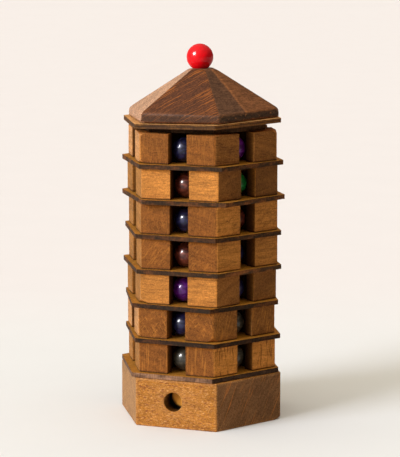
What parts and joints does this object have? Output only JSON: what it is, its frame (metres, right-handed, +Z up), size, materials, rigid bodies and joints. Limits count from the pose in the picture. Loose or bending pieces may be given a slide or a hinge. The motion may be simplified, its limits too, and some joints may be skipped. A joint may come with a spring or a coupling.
{
  "type": "turning tower marble puzzle",
  "caption": "Hexagonal wooden tower puzzle: storeys, plates and a roof turn on one dowel, and marbles sit in keyhole pockets that open to the faces.",
  "frame": {"origin": "centre of the hexagonal base's underside, on the dowel's axis", "axes": "+Z up the dowel towards the ball, -Y out of the base face that has the blind hole, X towards a corner of the base"},
  "size_m": [0.0954, 0.0866, 0.2131],
  "materials": {
    "base_wood": "satin stained wood",
    "light_storey_wood": "satin oiled wood",
    "brown_storey_wood": "satin stained wood",
    "plate_wood": "thin plywood, edges browned by the cut",
    "roof_wood": "satin dark stained wood",
    "dowel_wood": "plain turned wood",
    "red_lacquer": "gloss lacquer",
    "marble_navy": "gloss, pearly, opaque",
    "marble_purple": "gloss, pearly, opaque",
    "marble_copper": "gloss, pearly, opaque",
    "marble_silver": "gloss, pearly, opaque",
    "marble_green": "gloss, pearly, opaque"
  },
  "bodies": {
    "base": {"base_block": "base_wood", "base_plate": "plate_wood", "axle_dowel": "dowel_wood", "finial_ball": "red_lacquer"},
    "storey_1": {"storey_1": "light_storey_wood"},
    "marble_silver_1": {"marble_silver_1": "marble_silver"},
    "marble_silver_2": {"marble_silver_2": "marble_silver"},
    "marble_green_1": {"marble_green_1": "marble_green"},
    "marble_purple_1": {"marble_purple_1": "marble_purple"},
    "marble_copper_1": {"marble_copper_1": "marble_copper"},
    "floor_plate_1": {"floor_plate_1": "plate_wood"},
    "storey_2": {"storey_2": "brown_storey_wood"},
    "marble_navy_1": {"marble_navy_1": "marble_navy"},
    "marble_silver_3": {"marble_silver_3": "marble_silver"},
    "marble_purple_2": {"marble_purple_2": "marble_purple"},
    "marble_green_2": {"marble_green_2": "marble_green"},
    "marble_copper_2": {"marble_copper_2": "marble_copper"},
    "floor_plate_2": {"floor_plate_2": "plate_wood"},
    "storey_3": {"storey_3": "light_storey_wood"},
    "marble_purple_3": {"marble_purple_3": "marble_purple"},
    "marble_navy_2": {"marble_navy_2": "marble_navy"},
    "marble_green_3": {"marble_green_3": "marble_green"},
    "marble_silver_4": {"marble_silver_4": "marble_silver"},
    "marble_navy_3": {"marble_navy_3": "marble_navy"},
    "floor_plate_3": {"floor_plate_3": "plate_wood"},
    "storey_4": {"storey_4": "brown_storey_wood"},
    "marble_copper_3": {"marble_copper_3": "marble_copper"},
    "marble_navy_4": {"marble_navy_4": "marble_navy"},
    "marble_green_4": {"marble_green_4": "marble_green"},
    "marble_purple_4": {"marble_purple_4": "marble_purple"},
    "marble_silver_5": {"marble_silver_5": "marble_silver"},
    "floor_plate_4": {"floor_plate_4": "plate_wood"},
    "storey_5": {"storey_5": "brown_storey_wood"},
    "marble_navy_5": {"marble_navy_5": "marble_navy"},
    "marble_copper_4": {"marble_copper_4": "marble_copper"},
    "marble_purple_5": {"marble_purple_5": "marble_purple"},
    "marble_silver_6": {"marble_silver_6": "marble_silver"},
    "marble_green_5": {"marble_green_5": "marble_green"},
    "floor_plate_5": {"floor_plate_5": "plate_wood"},
    "storey_6": {"storey_6": "light_storey_wood"},
    "marble_copper_5": {"marble_copper_5": "marble_copper"},
    "marble_green_6": {"marble_green_6": "marble_green"},
    "marble_silver_7": {"marble_silver_7": "marble_silver"},
    "marble_copper_6": {"marble_copper_6": "marble_copper"},
    "marble_navy_6": {"marble_navy_6": "marble_navy"},
    "floor_plate_6": {"floor_plate_6": "plate_wood"},
    "storey_7": {"storey_7": "brown_storey_wood"},
    "marble_navy_7": {"marble_navy_7": "marble_navy"},
    "marble_purple_6": {"marble_purple_6": "marble_purple"},
    "marble_copper_7": {"marble_copper_7": "marble_copper"},
    "marble_purple_7": {"marble_purple_7": "marble_purple"},
    "marble_green_7": {"marble_green_7": "marble_green"},
    "roof": {"roof": "roof_wood", "eave_plate": "plate_wood", "cover_plate": "plate_wood"}
  },
  "joints": [
    {"name": "turn_storey_1", "type": "hinge", "parent": "base", "child": "storey_1", "pos_m": [0, 0, 0.0388], "axis": [0, 0, 1], "continuous": true},
    {"name": "turn_floor_plate_1", "type": "hinge", "parent": "base", "child": "floor_plate_1", "pos_m": [0, 0, 0.04865], "axis": [0, 0, 1], "continuous": true},
    {"name": "turn_storey_2", "type": "hinge", "parent": "base", "child": "storey_2", "pos_m": [0, 0, 0.0585], "axis": [0, 0, 1], "continuous": true},
    {"name": "turn_floor_plate_2", "type": "hinge", "parent": "base", "child": "floor_plate_2", "pos_m": [0, 0, 0.06835], "axis": [0, 0, 1], "continuous": true},
    {"name": "turn_storey_3", "type": "hinge", "parent": "base", "child": "storey_3", "pos_m": [0, 0, 0.0782], "axis": [0, 0, 1], "continuous": true},
    {"name": "turn_floor_plate_3", "type": "hinge", "parent": "base", "child": "floor_plate_3", "pos_m": [0, 0, 0.08805], "axis": [0, 0, 1], "continuous": true},
    {"name": "turn_storey_4", "type": "hinge", "parent": "base", "child": "storey_4", "pos_m": [0, 0, 0.0979], "axis": [0, 0, 1], "continuous": true},
    {"name": "turn_floor_plate_4", "type": "hinge", "parent": "base", "child": "floor_plate_4", "pos_m": [0, 0, 0.10775], "axis": [0, 0, 1], "continuous": true},
    {"name": "turn_storey_5", "type": "hinge", "parent": "base", "child": "storey_5", "pos_m": [0, 0, 0.1176], "axis": [0, 0, 1], "continuous": true},
    {"name": "turn_floor_plate_5", "type": "hinge", "parent": "base", "child": "floor_plate_5", "pos_m": [0, 0, 0.12745], "axis": [0, 0, 1], "continuous": true},
    {"name": "turn_storey_6", "type": "hinge", "parent": "base", "child": "storey_6", "pos_m": [0, 0, 0.1373], "axis": [0, 0, 1], "continuous": true},
    {"name": "turn_floor_plate_6", "type": "hinge", "parent": "base", "child": "floor_plate_6", "pos_m": [0, 0, 0.14715], "axis": [0, 0, 1], "continuous": true},
    {"name": "turn_storey_7", "type": "hinge", "parent": "base", "child": "storey_7", "pos_m": [0, 0, 0.157], "axis": [0, 0, 1], "continuous": true},
    {"name": "turn_roof", "type": "hinge", "parent": "base", "child": "roof", "pos_m": [0, 0, 0.1756], "axis": [0, 0, 1], "continuous": true},
    {"name": "roll_marble_silver_1", "type": "slide", "parent": "storey_1", "child": "marble_silver_1", "axis": [-0.0105, -0.9999, 0], "range_m": [-0.00142, 0.00085]},
    {"name": "roll_marble_silver_2", "type": "slide", "parent": "storey_1", "child": "marble_silver_2", "axis": [0.8607, -0.509, 0], "range_m": [-0.00142, 0.00085]},
    {"name": "roll_marble_green_1", "type": "slide", "parent": "storey_1", "child": "marble_green_1", "axis": [0.8712, 0.4909, 0], "range_m": [-0.00111, 0.00039]},
    {"name": "roll_marble_purple_1", "type": "slide", "parent": "storey_1", "child": "marble_purple_1", "axis": [0.0105, 0.9999, 0], "range_m": [-0.00136, 0.00068]},
    {"name": "roll_marble_copper_1", "type": "slide", "parent": "storey_1", "child": "marble_copper_1", "axis": [-0.8712, -0.4909, 0], "range_m": [-0.0012, 0.00048]},
    {"name": "roll_marble_navy_1", "type": "slide", "parent": "storey_2", "child": "marble_navy_1", "axis": [-0.007, -1, 0], "range_m": [-0.0011, 0.00039]},
    {"name": "roll_marble_silver_3", "type": "slide", "parent": "storey_2", "child": "marble_silver_3", "axis": [0.8625, -0.506, 0], "range_m": [-0.00146, 0.00107]},
    {"name": "roll_marble_purple_2", "type": "slide", "parent": "storey_2", "child": "marble_purple_2", "axis": [0.8695, 0.4939, 0], "range_m": [-0.00146, 0.00115]},
    {"name": "roll_marble_green_2", "type": "slide", "parent": "storey_2", "child": "marble_green_2", "axis": [0.007, 1, 0], "range_m": [-0.00129, 0.00058]},
    {"name": "roll_marble_copper_2", "type": "slide", "parent": "storey_2", "child": "marble_copper_2", "axis": [-0.8625, 0.506, 0], "range_m": [-0.00111, 0.00039]},
    {"name": "roll_marble_purple_3", "type": "slide", "parent": "storey_3", "child": "marble_purple_3", "axis": [0.0209, -0.9998, 0], "range_m": [-0.00097, 0.00027]},
    {"name": "roll_marble_navy_2", "type": "slide", "parent": "storey_3", "child": "marble_navy_2", "axis": [0.8763, -0.4818, 0], "range_m": [-0.00138, 0.00076]},
    {"name": "roll_marble_green_3", "type": "slide", "parent": "storey_3", "child": "marble_green_3", "axis": [-0.0209, 0.9998, 0], "range_m": [-0.00127, 0.00056]},
    {"name": "roll_marble_silver_4", "type": "slide", "parent": "storey_3", "child": "marble_silver_4", "axis": [-0.8763, 0.4818, 0], "range_m": [-0.00146, 0.00114]},
    {"name": "roll_marble_navy_3", "type": "slide", "parent": "storey_3", "child": "marble_navy_3", "axis": [-0.8554, -0.518, 0], "range_m": [-0.00129, 0.00059]},
    {"name": "roll_marble_copper_3", "type": "slide", "parent": "storey_4", "child": "marble_copper_3", "axis": [0.014, -0.9999, 0], "range_m": [-0.00134, 0.00065]},
    {"name": "roll_marble_navy_4", "type": "slide", "parent": "storey_4", "child": "marble_navy_4", "axis": [0.8729, -0.4879, 0], "range_m": [-0.00142, 0.00085]},
    {"name": "roll_marble_green_4", "type": "slide", "parent": "storey_4", "child": "marble_green_4", "axis": [0.859, 0.512, 0], "range_m": [-0.00144, 0.00092]},
    {"name": "roll_marble_purple_4", "type": "slide", "parent": "storey_4", "child": "marble_purple_4", "axis": [-0.8729, 0.4879, 0], "range_m": [-0.00111, 0.0004]},
    {"name": "roll_marble_silver_5", "type": "slide", "parent": "storey_4", "child": "marble_silver_5", "axis": [-0.859, -0.512, 0], "range_m": [-0.00126, 0.00055]},
    {"name": "roll_marble_navy_5", "type": "slide", "parent": "storey_5", "child": "marble_navy_5", "axis": [0.0087, -1, 0], "range_m": [-0.0011, 0.00039]},
    {"name": "roll_marble_copper_4", "type": "slide", "parent": "storey_5", "child": "marble_copper_4", "axis": [0.8704, -0.4924, 0], "range_m": [-0.0012, 0.00048]},
    {"name": "roll_marble_purple_5", "type": "slide", "parent": "storey_5", "child": "marble_purple_5", "axis": [0.8616, 0.5075, 0], "range_m": [-0.00117, 0.00045]},
    {"name": "roll_marble_silver_6", "type": "slide", "parent": "storey_5", "child": "marble_silver_6", "axis": [-0.0087, 1, 0], "range_m": [-0.00118, 0.00046]},
    {"name": "roll_marble_green_5", "type": "slide", "parent": "storey_5", "child": "marble_green_5", "axis": [-0.8616, -0.5075, 0], "range_m": [-0.00138, 0.00075]},
    {"name": "roll_marble_copper_5", "type": "slide", "parent": "storey_6", "child": "marble_copper_5", "axis": [0.0314, -0.9995, 0], "range_m": [-0.00144, 0.00093]},
    {"name": "roll_marble_green_6", "type": "slide", "parent": "storey_6", "child": "marble_green_6", "axis": [0.8813, -0.4726, 0], "range_m": [-0.00097, 0.00027]},
    {"name": "roll_marble_silver_7", "type": "slide", "parent": "storey_6", "child": "marble_silver_7", "axis": [0.8499, 0.527, 0], "range_m": [-0.00138, 0.00076]},
    {"name": "roll_marble_copper_6", "type": "slide", "parent": "storey_6", "child": "marble_copper_6", "axis": [-0.8813, 0.4726, 0], "range_m": [-0.00117, 0.00045]},
    {"name": "roll_marble_navy_6", "type": "slide", "parent": "storey_6", "child": "marble_navy_6", "axis": [-0.8499, -0.527, 0], "range_m": [-0.00117, 0.00045]},
    {"name": "roll_marble_navy_7", "type": "slide", "parent": "storey_7", "child": "marble_navy_7", "axis": [-0.0035, -1, 0], "range_m": [-0.00138, 0.00076]},
    {"name": "roll_marble_purple_6", "type": "slide", "parent": "storey_7", "child": "marble_purple_6", "axis": [0.8643, -0.503, 0], "range_m": [-0.0011, 0.00039]},
    {"name": "roll_marble_copper_7", "type": "slide", "parent": "storey_7", "child": "marble_copper_7", "axis": [0.0035, 1, 0], "range_m": [-0.00112, 0.0004]},
    {"name": "roll_marble_purple_7", "type": "slide", "parent": "storey_7", "child": "marble_purple_7", "axis": [-0.8643, 0.503, 0], "range_m": [-0.00138, 0.00075]},
    {"name": "roll_marble_green_7", "type": "slide", "parent": "storey_7", "child": "marble_green_7", "axis": [-0.8678, -0.497, 0], "range_m": [-0.00144, 0.00091]}
  ]
}
